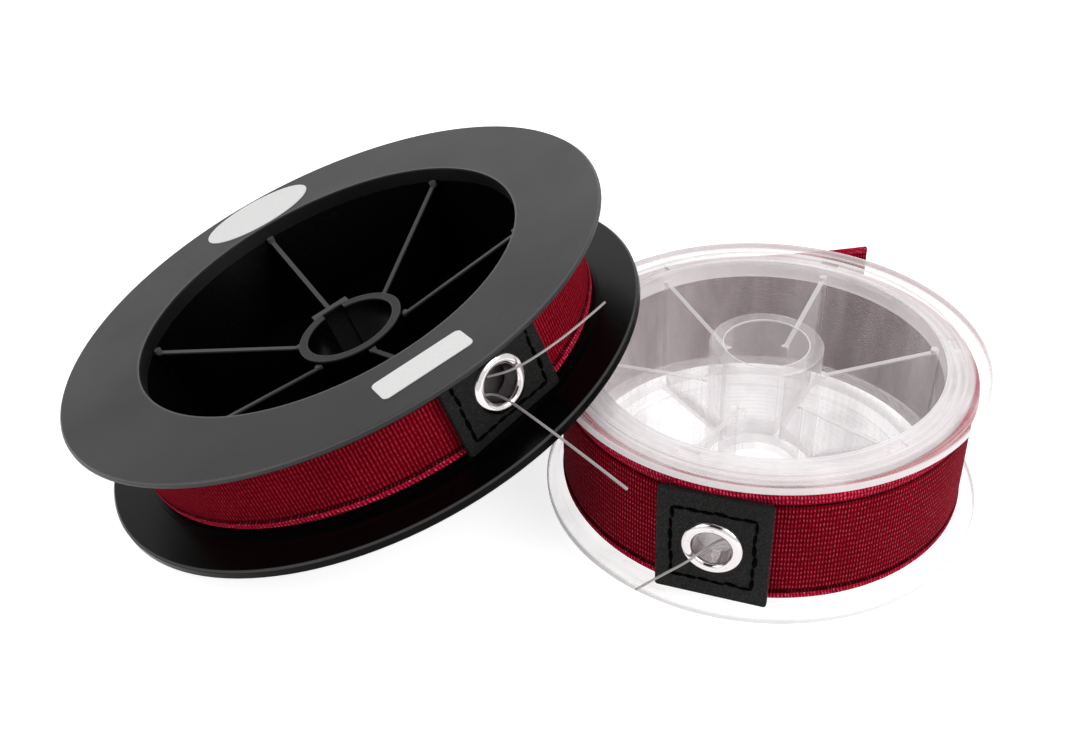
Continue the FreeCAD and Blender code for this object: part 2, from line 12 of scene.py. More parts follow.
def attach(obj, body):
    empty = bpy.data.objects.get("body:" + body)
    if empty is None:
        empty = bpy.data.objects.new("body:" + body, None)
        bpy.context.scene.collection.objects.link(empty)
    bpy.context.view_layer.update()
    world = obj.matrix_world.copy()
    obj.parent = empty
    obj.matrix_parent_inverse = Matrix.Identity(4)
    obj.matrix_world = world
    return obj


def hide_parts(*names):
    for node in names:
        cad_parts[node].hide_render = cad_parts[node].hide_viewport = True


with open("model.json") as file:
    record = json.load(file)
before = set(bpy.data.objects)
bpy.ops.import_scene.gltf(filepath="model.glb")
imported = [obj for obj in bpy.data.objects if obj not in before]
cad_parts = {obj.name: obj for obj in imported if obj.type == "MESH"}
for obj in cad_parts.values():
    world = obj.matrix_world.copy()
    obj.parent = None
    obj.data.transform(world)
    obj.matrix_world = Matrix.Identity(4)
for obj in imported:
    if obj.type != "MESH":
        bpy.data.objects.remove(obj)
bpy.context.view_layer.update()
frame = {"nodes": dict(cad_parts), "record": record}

bl_info = {
    "name": "Line Winder Pair",
    "version": (1, 0, 0),
    "blender": (4, 5, 0),
    "location": "View3D > Sidebar > Winders",
    "description": "Finishes a clear and a black line winder with their elastic bands",
    "category": "Object",
}

MM = 0.001
WINDERS = ("clear", "black")

# Sizes of the clear and the black winder in millimetres, in the winder's own frame: its axis
# is Z, its underside is z = 0, and the band's patch faces -Y before the turn.
SIZES = {
    "band_radius": (32.1, 40.1), "band_low": (2.6, 2.7), "band_high": (23.4, 17.4),
    "wound_inner": (29.1, 35.45), "wound_radius": (29.65, 37.5),
    "wound_low": (2.45, 2.55), "wound_high": (23.55, 17.55),
    "patch_width": (16.7, 18.2), "patch_height": (18.9, 14.2), "patch_middle": (12.05, 10.0),
    "stitch_width": (12.2, 14.3), "stitch_height": (12.8, 10.6),
    "eyelet_height": (12.2, 9.8),
    "tab_length": (23.4, 20.0), "tab_rise": (19.8, 13.7), "tab_lift": (1.2, 0.0),
}
BAND_TURN = {"clear": math.radians(-21.15), "black": math.radians(41.0)}
TAB_TURN = math.radians(21.0)
TAB_STAND = 1.2 * MM
TAB_STITCH_PITCH = 1.9 * MM
PATCH_GAP = 0.05 * MM
HOLE_RADIUS = 3.25 * MM
FLOW_PITCH = 1.15 * MM

# Where their moulded edges lie, by the inputs of the group of lit edges.
EDGES = {
    "Ring": (31.6, 47.0), "Mouth": (27.4, 33.0), "Top": (25.0, 18.7), "Hub": (8.9, 9.15),
    "Bore": (6.6, 7.65), "Hub Top": (26.2, 9.3), "Rib Foot": (19.6, 8.3), "Width": (0.4, 0.4),
}
# How much of the hub's top face and of the ribs' tops take the painted edge highlight.
EDGE_SHARES = {"Hub Face": (0.2, 0.5), "Rib Slope": (0.226, 0.334), "Rib Share": (0.65, 1.0)}

# Free ends of the line, point by point, as sideways, outwards and up from the axis.
TAILS = {
    "clear_line_tail": ("clear", 30.5, (
        (14.2, 26.5, 14.2), (10.2, 28.35, 13.7), (5.6, 29.6, 13.0), (1.3, 30.3, 12.1),
        (-0.9, 32.7, 11.5), (-3.1, 34.85, 10.0), (-7.7, 35.15, 5.7), (-10.7, 34.8, 2.2),
    )),
    "black_line_tail_long": ("black", 45.5, (
        (-11.7, 36.15, 8.8), (-8.1, 37.2, 8.65), (-4.3, 37.85, 8.4), (-1.7, 38.05, 8.05),
        (-0.5, 39.7, 7.65), (-0.75, 43.6, 7.6), (-2.05, 50.9, 7.65), (-4.05, 61.7, 7.65),
        (-6.2, 72.6, 7.6),
    )),
    "black_line_tail_short": ("black", 34.0, (
        (-11.8, 36.1, 11.3), (-6.6, 37.45, 11.1), (-1.2, 38.2, 10.8), (1.8, 41.6, 10.6),
        (6.0, 43.6, 10.9), (13.3, 43.95, 10.45), (20.4, 42.9, 9.8),
    )),
}


# Settings

def colour(name, description, value):
    """A colour setting."""
    return FloatVectorProperty(
        name=name, description=description, subtype="COLOR", size=3, min=0, max=1, default=value)


def number(name, description, value, **options):
    """A number setting."""
    return FloatProperty(name=name, description=description, default=value, **options)


def length(name, description, value):
    """A length setting, given in millimetres and kept in metres."""
    return number(
        name, description, value * MM, unit="LENGTH", subtype="DISTANCE", precision=5)


def share(name, description, value):
    """A setting from 0 to 1."""
    return number(name, description, value, subtype="FACTOR", min=0, max=1)


class SpoolSettings(bpy.types.PropertyGroup):
    """Colours and finish of the two spools, the wound line and the labels."""
    clear_tint: colour("Clear tint", "Colour of the clear plastic's haze", (0.985, 0.945, 0.955))
    flange_haze: share("Flange haze", "Haze of the clear top flange's raised ring", 0.45)
    brim_haze: share("Brim haze", "Haze of the clear top flange outside its ring", 0.05)
    barrel_haze: share("Barrel haze", "Haze of the clear lower half", 0.03)
    clear_roughness: share("Clear roughness", "Roughness of the clear plastic", 0.06)
    black_colour: colour("Black", "Colour of the black plastic", (0.0014, 0.0014, 0.0015))
    # The black rims' and edges' colours are painted highlights on the plastic.
    rim_highlight_colour: colour("Black rim highlights", "Colour of the black flanges' chamfers", (0.2, 0.2, 0.2))
    edge_highlight_colour: colour("Black edge highlights", "Colour of the black ribs' and hub's edges", (0.085,) * 3)
    satin_roughness: share("Satin roughness", "Roughness of the black top flange", 0.42)
    gloss_roughness: share("Gloss roughness", "Roughness of the black lower half", 0.2)
    line_colour: colour("Wound line", "Colour of the wound nylon", (0.97, 0.85, 0.88))
    line_cover: share("Line cover", "Share of the light that the clear winder's line stops", 0.46)
    thin_line_cover: share("Thin line cover", "The same for the black winder's line", 0.1)
    line_diameter: length("Line diameter", "Diameter of the fishing line", 0.4)
    paper_colour: colour("Labels", "Colour of the label paper", (0.95, 0.95, 0.945))


class ElasticSettings(bpy.types.PropertyGroup):
    """Colours and weave of the elastic bands."""
    # Painted light on the weave: shade between the yarns, and glints as highlights on their crowns.
    gap_shade_colour: colour("Gap shade", "Colour between the yarns", (0.12, 0.0006, 0.004))
    crown_colour: colour("Crown colour", "Colour on top of the yarns", (0.46, 0.005, 0.026))
    glint_colour: colour("Glints", "Colour of the yarns' brightest spots", (0.66, 0.12, 0.19))
    ribbed_crown: colour("Ribbed crown", "Crowns of the black winder's band", (0.37, 0.004, 0.02))
    ribbed_glint: colour("Ribbed glints", "Glints of the black winder's band", (0.5, 0.03, 0.06))
    # The rolled edges are lighter than the middle: painted light on them, with painted shade
    # between their yarns.
    edging_gap_shade: colour("Edging gap shade", "Gap shade of the rolled edges", (0.26, 0.003, 0.016))
    edging_lit_crown: colour("Edging lit crown", "Crowns of the rolled edges", (0.86, 0.02, 0.08))
    edging_glint: colour("Edging glints", "Glints of the rolled edges", (0.95, 0.2, 0.3))
    thread_colour: colour("Tab thread", "Colour of the tabs' stitches", (0.16, 0.004, 0.014))
    wall: length("Wall", "Thickness of the elastic", 1.0)
    rib_pitch: length("Rib pitch", "Distance between the ribs of the clear winder's band", 0.5)
    wide_rib_pitch: length("Wide rib pitch", "The same for the black winder's band", 0.61)
    pick_pitch: length("Pick pitch", "Distance between the rows of dots", 0.9)
    seam_below: length("Upper seam", "Distance of the upper seam from the top edge", 3.1)
    seam_above: length("Lower seam", "Distance of the lower seam from the bottom edge", 1.5)
    low_swell: length("Lower swell", "How far the rolled bottom edge stands out", 0.15)
    high_swell: length("Upper swell", "How far the rolled top edge stands out", 0.42)
    seam_half: length("Seam width", "Half the width of a sunken seam", 0.28)
    seam_depth: length("Seam depth", "Depth of the sunken seams", 0.45)
    steps: IntProperty(name="Steps", description="Divisions round a band", default=320, min=60)


class PatchSettings(bpy.types.PropertyGroup):
    """Sizes and colours of the patches, their stitches and the eyelets."""
    leather_colour: colour("Leatherette", "Colour of the patches", (0.014, 0.0148, 0.0138))
    thread_colour: colour("Thread", "Colour of the patch stitches", (0.0004,) * 3)
    wall: length("Wall", "Thickness of a patch", 1.0)
    corner_round: length("Corner rounding", "Rounding of a patch's corners", 0.5)
    edge_round: length("Edge rounding", "Rounding of a patch's edges", 0.22)
    stitch_length: length("Stitch", "Length of one stitch", 2.1)
    stitch_gap: length("Stitch gap", "Gap between stitches", 0.05)
    nickel_colour: colour("Nickel", "Colour of the eyelets", (0.68, 0.64, 0.645))
    eyelet_bore: length("Eyelet bore", "Radius of an eyelet's hole", 2.9)
    eyelet_radius: length("Eyelet radius", "Radius of an eyelet's rolled rim", 4.6)
    eyelet_rise: length("Eyelet rise", "Height of the rim over the patch", 0.75)


class StageSettings(bpy.types.PropertyGroup):
    """Floor, lamps and camera."""
    floor_colour: colour("Floor", "Colour of the floor", (0.8, 0.8, 0.8))
    floor_lift: share("Floor lift", "White added to the floor where it is seen", 0.77)
    world_light: number("Surrounding light", "Strength of the soft light all round", 0.42)
    key_power: number("Key lamp", "Power of the key lamp", 2.1, unit="POWER")
    lens: number("Lens", "Focal length in millimetres", 43.146)
    camera_place: FloatVectorProperty(
        name="Camera", description="Where the camera stands", subtype="TRANSLATION",
        default=(-0.03553, -0.16766, 0.13880))
    camera_pitch: number(
        "Camera pitch", "How far the camera looks down", 0.6117, subtype="ANGLE")
    camera_roll: number("Camera roll", "How far the camera leans", -0.0394, subtype="ANGLE")


# Places

def column(table, winder, unit=1.0):
    """One winder's values from a table."""
    return {name: pair[WINDERS.index(winder)] * unit for name, pair in table.items()}


SHAPES = {winder: SimpleNamespace(**column(SIZES, winder, MM)) for winder in WINDERS}


def winder_place(winder):
    """The winder's own frame. The black one leans, and its hub bore gives its place."""
    if winder == "clear":
        return Matrix.Identity(4)
    mounts = {mount["name"]: mount for mount in frame["record"]["mounts"]}
    bore = mounts["black_hub_bore"]
    lean = math.atan2(-bore["axis"][0], bore["axis"][2])
    return Matrix.Translation(bore["pos_m"]) @ Matrix.Rotation(-lean, 4, "Y")


def band_place(winder):
    """The band's frame: the winder's, turned so that -Y leaves through the patch."""
    return winder_place(winder) @ Matrix.Rotation(BAND_TURN[winder], 4, "Z")


def tab_place(winder):
    """The tab's frame: the band's, turned so that the tab leaves it along X."""
    return band_place(winder) @ Matrix.Rotation(TAB_TURN, 4, "Z")


def patch_back(winder):
    """Distance of the patch's back from the axis."""
    return SHAPES[winder].band_radius + PATCH_GAP


def facing(place, direction, axis):
    """A frame at a place, with one of its axes along a direction."""
    return Matrix.Translation(place) @ direction.to_track_quat(axis, "Y").to_matrix().to_4x4()


# Pieces

def add_object(name, data):
    """A new object in the scene."""
    thing = bpy.data.objects.new(name, data)
    bpy.context.scene.collection.objects.link(thing)
    return thing


def new_object(name, bm, materials=()):
    """An object of the bmesh, which is freed."""
    mesh = bpy.data.meshes.new(name)
    bm.to_mesh(mesh)
    bm.free()
    for material in materials:
        mesh.materials.append(material)
    return add_object(name, mesh)


def add_piece(winder, name, bm, materials, place, nodes=(), body="keeper", smooth=35):
    """A winder's piece at its place, smooth up to an angle in degrees, riding on its body."""
    bm.transform(place)
    bmesh.ops.recalc_face_normals(bm, faces=bm.faces)
    for face in bm.faces:
        face.smooth = True
    for edge in bm.edges:
        edge.smooth = edge.calc_face_angle(0.0) < math.radians(smooth)
    piece = new_object(f"{winder}_{name}", bm, materials)
    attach(piece, f"{winder}_{body}")
    for node in nodes:
        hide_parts(f"{winder}_{node}")
    return piece


def finish_node(node, material):
    """Gives a moulded or cut piece its material, with its mesh as it is."""
    for slot in frame["nodes"][node].material_slots:
        slot.material = material


def grid(half, place=Matrix.Identity(4)):
    """A flat square."""
    bm = bmesh.new()
    bmesh.ops.create_grid(bm, x_segments=1, y_segments=1, size=half, matrix=place)
    return bm


def block(size):
    """A box about the origin."""
    bm = bmesh.new()
    bmesh.ops.create_cube(bm, size=1)
    bmesh.ops.scale(bm, vec=size, verts=bm.verts)
    return bm


def bevel(bm, edges, offset, segments=3):
    """Rounds some edges."""
    bmesh.ops.bevel(
        bm, geom=edges, offset=offset, segments=segments, profile=0.5, affect="EDGES", material=-1)


def cut_hole(bm, reach, height):
    """Cuts the eyelet's round hole through the front of a band or patch."""
    tool = bmesh.new()
    across = Matrix.Rotation(math.pi / 2, 4, "X")
    bmesh.ops.create_cone(
        tool, cap_ends=True, segments=48, radius1=HOLE_RADIUS, radius2=HOLE_RADIUS, depth=8 * MM,
        matrix=Matrix.Translation((0, -reach, height)) @ across)
    things = [new_object("hole_target", bm.copy()), new_object("hole_tool", tool)]
    cut = things[0].modifiers.new("Hole", "BOOLEAN")
    cut.operation = "DIFFERENCE"
    cut.solver = "EXACT"
    cut.object = things[1]
    graph = bpy.context.evaluated_depsgraph_get()
    result = bpy.data.meshes.new_from_object(things[0].evaluated_get(graph))
    bm.clear()
    bm.from_mesh(result)
    meshes = [result] + [thing.data for thing in things]
    for thing in things:
        bpy.data.objects.remove(thing)
    for mesh in meshes:
        bpy.data.meshes.remove(mesh)


def spun(section, steps, axis=(0, 0, 1), centre=(0, 0, 0)):
    """A ring spun from the closed outline of its section."""
    bm = bmesh.new()
    corners = [bm.verts.new(point) for point in section]
    edges = [bm.edges.new(pair) for pair in zip(corners, corners[1:] + corners[:1])]
    bmesh.ops.spin(
        bm, geom=corners + edges, cent=centre, axis=axis, dvec=(0, 0, 0),
        angle=math.tau, steps=steps, use_merge=True)
    bmesh.ops.recalc_face_normals(bm, faces=bm.faces)
    return bm


def unroll(bm, around, upward):
    """Gives a ring a UV map that counts yarns: around it in U and up it in V."""
    layer = bm.loops.layers.uv.new("Weave")
    for face in bm.faces:
        centre = face.calc_center_median()
        middle = math.atan2(centre.x, -centre.y)
        for loop in face.loops:
            angle = math.atan2(loop.vert.co.x, -loop.vert.co.y)
            angle = middle + (angle - middle + math.pi) % math.tau - math.pi
            loop[layer].uv = (angle / math.tau * around, loop.vert.co.z / upward)


def add_stitch(bm, middle, lean, half_size):
    """One stitch: a long bead that leans in the plane of the cloth."""
    size = Matrix.Diagonal((*half_size, 1))
    bmesh.ops.create_uvsphere(
        bm, u_segments=10, v_segments=8, radius=1,
        matrix=Matrix.Translation(middle) @ Matrix.Rotation(lean, 4, "Y") @ size)


# Materials

def tinted(tint, factor):
    """A colour made darker or lighter."""
    return [channel * factor for channel in tint]


class Nodes:
    """Adds nodes to a tree and links them. A value is a plain one or another node's output."""

    def __init__(self, tree):
        self.tree = tree

    def put(self, socket, value):
        """Links a socket to an output, or sets its plain value."""
        if isinstance(value, bpy.types.NodeSocket):
            self.tree.links.new(value, socket)
        elif socket.type == "RGBA" and len(value) == 3:
            socket.default_value = (*value, 1)
        else:
            socket.default_value = value

    def feed(self, sockets, **values):
        """Puts values on sockets that are named with _ for their spaces."""
        for key, value in values.items():
            self.put(sockets[key.replace("_", " ")], value)

    def add(self, kind, inputs=(), **options):
        """A shader node with its options and its inputs' values."""
        node = self.tree.nodes.new("ShaderNode" + kind)
        for key, value in options.items():
            setattr(node, key, value)
        for key, value in dict(inputs).items():
            self.put(node.inputs[key], value)
        return node

    def math(self, operation, first, second=0.0):
        """The result of a Math node."""
        return self.add("Math", {0: first, 1: second}, operation=operation).outputs[0]

    def times(self, first, second):
        """The product of two values."""
        return self.math("MULTIPLY", first, second)

    def plus(self, first, second):
        """The sum of two values."""
        return self.math("ADD", first, second)

    def minus(self, first, second):
        """The difference of two values."""
        return self.math("SUBTRACT", first, second)

    def most(self, first, *others):
        """The highest of some values."""
        for other in others:
            first = self.math("MAXIMUM", first, other)
        return first

    def total(self, first, *parts):
        """The first value, with each part added in its share."""
        for part, weight in parts:
            first = self.plus(first, self.times(part, weight))
        return first

    def wave(self, value):
        """Rounded ridges, one to each whole number."""
        return self.math("ABSOLUTE", self.math("SINE", self.times(value, math.pi)))

    def clamped(self, value):
        """A number kept from 0 to 1."""
        return self.add("Clamp", {"Value": value}).outputs[0]

    def split(self, vector):
        """The three parts of a vector."""
        return self.add("SeparateXYZ", {"Vector": vector}).outputs

    def noise(self, vector, scale, detail=2.0):
        """Soft noise from 0 to 1."""
        values = {"Vector": vector, "Scale": scale, "Detail": detail}
        return self.add("TexNoise", values).outputs[0]

    def mapped(self, vector, **values):
        """A vector moved, turned or stretched."""
        node = self.add("Mapping", {"Vector": vector})
        self.feed(node.inputs, **values)
        return node.outputs[0]

    def vectors(self, operation, first, second=(0, 0, 0)):
        """The outputs of a Vector Math node."""
        return self.add("VectorMath", {0: first, 1: second}, operation=operation).outputs

    def ramp(self, factor, low, high, start=(0, 0, 0), end=(1, 1, 1)):
        """The colour of a ramp between two places."""
        node = self.add("ValToRGB", {0: factor})
        for stop, position, tint in zip(node.color_ramp.elements, (low, high), (start, end)):
            stop.position = position
            stop.color = (*tint, 1)
        return node.outputs[0]

    def between(self, low, high, factor):
        """A number between two limits."""
        return self.add("MapRange", {"To Min": low, "To Max": high, "Value": factor}).outputs[0]

    def colours(self, factor, first, second, **options):
        """A mix of two colours."""
        values = {0: factor, 6: first, 7: second}
        return self.add("Mix", values, data_type="RGBA", **options).outputs[2]

    def group(self, name, vector, **values):
        """The outputs of a shared group."""
        node = self.add("Group", {"Vector": vector}, node_tree=bpy.data.node_groups[name])
        self.feed(node.inputs, **values)
        return node.outputs


class Finish(Nodes):
    """A new material: its nodes and the coordinates that its patterns read."""

    def __init__(self, name, follows_weave=False):
        self.material = bpy.data.materials.new(name)
        self.material.use_nodes = True
        super().__init__(self.material.node_tree)
        if follows_weave:
            self.place = self.add("UVMap", uv_map="Weave").outputs[0]
        else:
            self.place = self.add("TexCoord").outputs["Object"]

    def shared(self, name, **values):
        """The outputs of a shared group, placed on the material's coordinates."""
        return self.group(name, self.place, **values)

    def shade(self, **values):
        """Puts values on the shader's sockets."""
        self.feed(self.tree.nodes["Principled BSDF"].inputs, **values)
        return self.material

    def bump(self, height, distance, strength=1.0):
        """A normal bent by a height."""
        values = {"Height": height, "Distance": distance, "Strength": strength}
        return self.add("Bump", values).outputs[0]


def new_group(name, numbers, outputs):
    """An empty shader group that takes a vector and numbers, and puts out numbers."""
    tree = bpy.data.node_groups.new(name, "ShaderNodeTree")
    new_socket = tree.interface.new_socket
    new_socket("Vector", in_out="INPUT", socket_type="NodeSocketVector")
    for label, value in numbers.items():
        socket = new_socket(label, in_out="INPUT", socket_type="NodeSocketFloat")
        socket.default_value = value
    for label in outputs:
        new_socket(label, in_out="OUTPUT", socket_type="NodeSocketFloat")
    given = tree.nodes.new("NodeGroupInput").outputs
    return Nodes(tree), given, tree.nodes.new("NodeGroupOutput").inputs


def group_scuffs():
    """Fine scratches and faint clouding of handled plastic or metal."""
    nodes, given, out = new_group("Scuffs", {"Scale": 400.0}, ("Scratches", "Clouds"))
    place = given["Vector"]
    stretched = nodes.mapped(place, Scale=(1.0, 6.0, 2.5), Rotation=(0.3, 0.2, 0.6))
    hairs = nodes.noise(stretched, given["Scale"], 3.0)
    clouds = nodes.noise(place, 55.0, 4.0)
    nodes.feed(
        out, Scratches=nodes.ramp(hairs, 0.63, 0.7), Clouds=nodes.ramp(clouds, 0.35, 0.75))


def group_weave():
    """Ribs and picks of a narrow elastic, on a UV map that counts yarns."""
    nodes, given, out = new_group(
        "Weave", {"Skew": 0.0, "Uneven": 0.15, "Dots": 0.55}, ("Height", "Crowns", "Tone"))
    place = given["Vector"]
    wander = nodes.noise(place, 0.35)
    offset = nodes.times(nodes.minus(wander, 0.5), given["Uneven"])
    across, up = nodes.split(place)[:2]
    upward = nodes.total(up, (offset, 6.0))
    along = nodes.total(across, (offset, 4.0), (upward, given["Skew"]))
    rib = nodes.wave(along)
    pick = nodes.wave(upward)
    fuzz = nodes.times(nodes.minus(nodes.noise(place, 1.5, 4.0), 0.5), 0.8)
    body = nodes.times(rib, nodes.total(0.45, (pick, 0.55)))
    gaps = nodes.minus(1.0, nodes.math("POWER", pick, 1.6))
    dots = nodes.minus(1.0, nodes.times(gaps, given["Dots"]))
    crowns = nodes.times(nodes.math("POWER", rib, 1.3), dots)
    nodes.feed(
        out, Height=nodes.plus(body, fuzz), Crowns=nodes.plus(crowns, fuzz),
        Tone=nodes.noise(place, 0.06, 3.0))


def group_edges():
    """Where moulded edges catch the light: the rim, the mouth, the ribs' tops and the hub."""
    numbers = dict.fromkeys(("Rim", "Rim Top", *EDGES, *EDGE_SHARES), 0.0)
    nodes, given, out = new_group(
        "Lit edges", numbers, ("Edge", "On Rim", "Inside Ring", "On Hub", "Radius"))
    place = given["Vector"]
    width = given["Width"]
    radius = nodes.vectors("LENGTH", nodes.vectors("MULTIPLY", place, (1, 1, 0))[0])["Value"]
    up = nodes.split(place)[2]

    def above(value, level):
        """0 to 1 over the last width below a level."""
        over = nodes.plus(nodes.minus(value, level), width)
        return nodes.clamped(nodes.math("DIVIDE", over, width))

    def beside(value, level):
        """1 at a level, and 0 a width away from it on either side."""
        away = nodes.math("ABSOLUTE", nodes.minus(value, level))
        return nodes.clamped(nodes.minus(1.0, nodes.math("DIVIDE", away, width)))

    mouth = nodes.times(beside(radius, given["Mouth"]), above(up, given["Top"]))
    from_hub = nodes.minus(radius, given["Hub"])
    ridge = nodes.total(given["Rib Foot"], (from_hub, given["Rib Slope"]))
    inside = nodes.math("LESS_THAN", radius, nodes.minus(given["Mouth"], width))
    outside_hub = nodes.math("GREATER_THAN", from_hub, nodes.times(width, 0.4))
    rib = nodes.times(nodes.times(inside, outside_hub), above(up, ridge))
    rib = nodes.times(rib, given["Rib Share"])
    on_hub = nodes.minus(1.0, outside_hub)
    corners = nodes.most(beside(radius, given["Hub"]), beside(radius, given["Bore"]))
    hub = nodes.times(nodes.most(corners, given["Hub Face"]), above(up, given["Hub Top"]))
    rim = nodes.times(above(radius, given["Rim"]), above(up, given["Rim Top"]))
    nodes.feed(
        out, Edge=nodes.most(rim, mouth, rib, nodes.times(on_hub, hub)), On_Rim=rim,
        Inside_Ring=nodes.minus(1.0, above(radius, given["Ring"])), On_Hub=on_hub, Radius=radius)


def group_grain():
    """Pebbled grain of leatherette or the fibres of paper."""
    nodes, given, out = new_group("Grain", {"Scale": 1500.0}, ("Height", "Creases"))
    place = given["Vector"]
    scale = given["Scale"]
    bent = nodes.add("TexNoise", {"Vector": place, "Scale": scale, "Detail": 2.0}).outputs
    moved = nodes.vectors("MULTIPLY", bent[1], (0.6 * MM,) * 3)[0]
    values = {"Vector": nodes.vectors("ADD", place, moved)[0], "Scale": scale}
    cells = nodes.add("TexVoronoi", values, feature="DISTANCE_TO_EDGE")
    pebble = nodes.ramp(cells.outputs[0], 0.0, 0.28)
    nodes.feed(out, Height=nodes.total(pebble, (bent[0], 0.6)), Creases=nodes.minus(1.0, pebble))


def build_groups():
    """Makes the shared groups once."""
    if "Weave" not in bpy.data.node_groups:
        group_scuffs()
        group_weave()
        group_edges()
        group_grain()


def lit_edges(nodes, winder, rim, rim_top):
    """Masks of the winder's lit edges, its ring and its hub, in the winder's own frame."""
    home = winder_place(winder).inverted()
    own = nodes.mapped(nodes.place, Location=home.translation, Rotation=home.to_euler())
    return nodes.group(
        "Lit edges", own, Rim=rim * MM, Rim_Top=rim_top * MM,
        **column(EDGES, winder, MM), **column(EDGE_SHARES, winder))


def low_glow(nodes):
    """Uneven mask just above the floor, where the moulding gathers light."""
    up = nodes.split(nodes.place)[2]
    foot = 1.5 * MM
    top = nodes.total(foot, (nodes.noise(nodes.place, 75.0), 7 * MM))
    fading = nodes.clamped(nodes.math("DIVIDE", nodes.minus(top, up), 2 * MM))
    return nodes.times(nodes.math("GREATER_THAN", up, foot), fading)


def material_clear_plastic(name, look, haze, outer_haze, flow_lines, rim):
    """Clear moulded plastic: see-through, whiter where it is seen aslant, and on its edges with
    painted highlights.
    """
    nodes = Finish(name)
    edges = lit_edges(nodes, "clear", rim, 0.0)
    streaks = nodes.noise(nodes.mapped(nodes.place, Scale=(1.0, 1.0, 0.05)), 120.0)
    wobble = nodes.times(streaks, 0.9 / math.pi)
    turns = nodes.wave(nodes.total(wobble, (edges["Radius"], 1 / FLOW_PITCH)))
    aslant = nodes.add("LayerWeight", {"Blend": 0.5}).outputs["Facing"]
    cover = nodes.total(
        nodes.between(outer_haze, haze, edges["Inside Ring"]),
        (nodes.math("POWER", aslant, 2.0), 0.3), (nodes.ramp(streaks, 0.48, 0.66), 0.12),
        (nodes.math("POWER", turns, 7.0), flow_lines), (edges["On Hub"], 0.05))
    glow = nodes.times(low_glow(nodes), nodes.times(edges["Inside Ring"], 0.45))
    # Painted highlights: the lit edges thicken the haze there.
    cover = nodes.clamped(nodes.most(cover, glow, nodes.times(edges["Edge"], 0.88)))
    shadow = nodes.add("LightPath").outputs["Is Shadow Ray"]
    clouds = nodes.shared("Scuffs", Scale=260.0)["Clouds"]
    # The lit edges' whiter colour is a painted highlight.
    return nodes.shade(
        Base_Color=nodes.colours(edges["Edge"], look.clear_tint, (0.98, 0.96, 0.965)),
        Alpha=nodes.times(cover, nodes.minus(1.0, nodes.times(shadow, 0.93))), IOR=1.5,
        Roughness=nodes.between(look.clear_roughness, look.clear_roughness + 0.08, clouds),
        Normal=nodes.bump(nodes.noise(nodes.place, 130.0, 1.0), 0.03 * MM, 0.4))


def material_black_plastic(name, look, roughness, grain, shine, rim, rim_top):
    """Black moulded plastic, satin where the mould was grained, with painted highlights along its
    edges.
    """
    nodes = Finish(name)
    marks = nodes.shared("Scuffs", Scale=320.0)
    height = nodes.shared("Grain", Scale=3200.0)["Height"]
    edges = lit_edges(nodes, "black", rim, rim_top)
    worn = nodes.colours(
        marks["Scratches"], look.black_colour, tinted(look.black_colour, 2.2))
    # Painted highlights: the ribs' and hub's edges, then the rims, take lighter colours. The
    # scratches are wear.
    lit = nodes.colours(edges["Edge"], worn, look.edge_highlight_colour)
    return nodes.shade(
        Base_Color=nodes.colours(edges["On Rim"], lit, look.rim_highlight_colour),
        Roughness=nodes.total(roughness, (marks["Clouds"], 0.08)), Specular_IOR_Level=shine,
        Normal=nodes.bump(height, grain * MM, 0.5))


def material_wound_line(name, look, cover):
    """Turns of clear nylon lying side by side, with light passing through them."""
    nodes = Finish(name, follows_weave=True)
    tone = nodes.shared("Weave", Uneven=0.05)["Tone"]
    strand = nodes.wave(nodes.split(nodes.place)[1])
    laid = nodes.noise(nodes.mapped(nodes.place, Scale=(0.12, 0.03, 1.0)), 1.0)
    # Between the turns the colour falls towards 0.45 of the line's as painted shade; the tone and
    # laid noise vary it at random.
    shade = nodes.total(
        nodes.times(strand, 0.3), (tone, 0.4), (nodes.ramp(laid, 0.38, 0.62), 0.5))
    return nodes.shade(
        Base_Color=nodes.colours(shade, tinted(look.line_colour, 0.45), look.line_colour),
        Roughness=0.28, IOR=1.5, Alpha=cover, Subsurface_Weight=0.85,
        Subsurface_Radius=(1.0, 0.9, 0.92), Subsurface_Scale=4 * MM,
        Normal=nodes.bump(strand, 0.04 * MM))


def material_line():
    """One strand of clear nylon."""
    nodes = Finish("nylon strand")
    clouds = nodes.shared("Scuffs", Scale=900.0)["Clouds"]
    return nodes.shade(
        Base_Color=nodes.colours(clouds, (0.5, 0.46, 0.46), (0.66, 0.62, 0.62)),
        Roughness=0.16, IOR=1.5, Alpha=0.7)


def material_elastic(name, skew, uneven, dots, deep, crown, glint):
    """Crimson elastic: yarns with painted shade between them and glints on top, twisted along the
    edges, darker in the seams.
    """
    nodes = Finish(name, follows_weave=True)
    weave = nodes.shared("Weave", Skew=skew, Uneven=uneven, Dots=dots)
    # The colour falls to painted shade between the yarns, and the brightest crowns take painted
    # glints.
    tint = nodes.ramp(weave["Crowns"], 0.15, 0.9, deep, crown)
    tint = nodes.colours(nodes.ramp(weave["Crowns"], 0.85, 1.0), tint, glint)
    worn = nodes.colours(
        nodes.ramp(weave["Tone"], 0.3, 0.75), (0.72, 0.68, 0.68), (1.0, 1.0, 1.0))
    return nodes.shade(
        Base_Color=nodes.colours(1.0, tint, worn, blend_type="MULTIPLY"),
        Roughness=0.8, Specular_IOR_Level=0.03, Normal=nodes.bump(weave["Height"], 0.14 * MM))


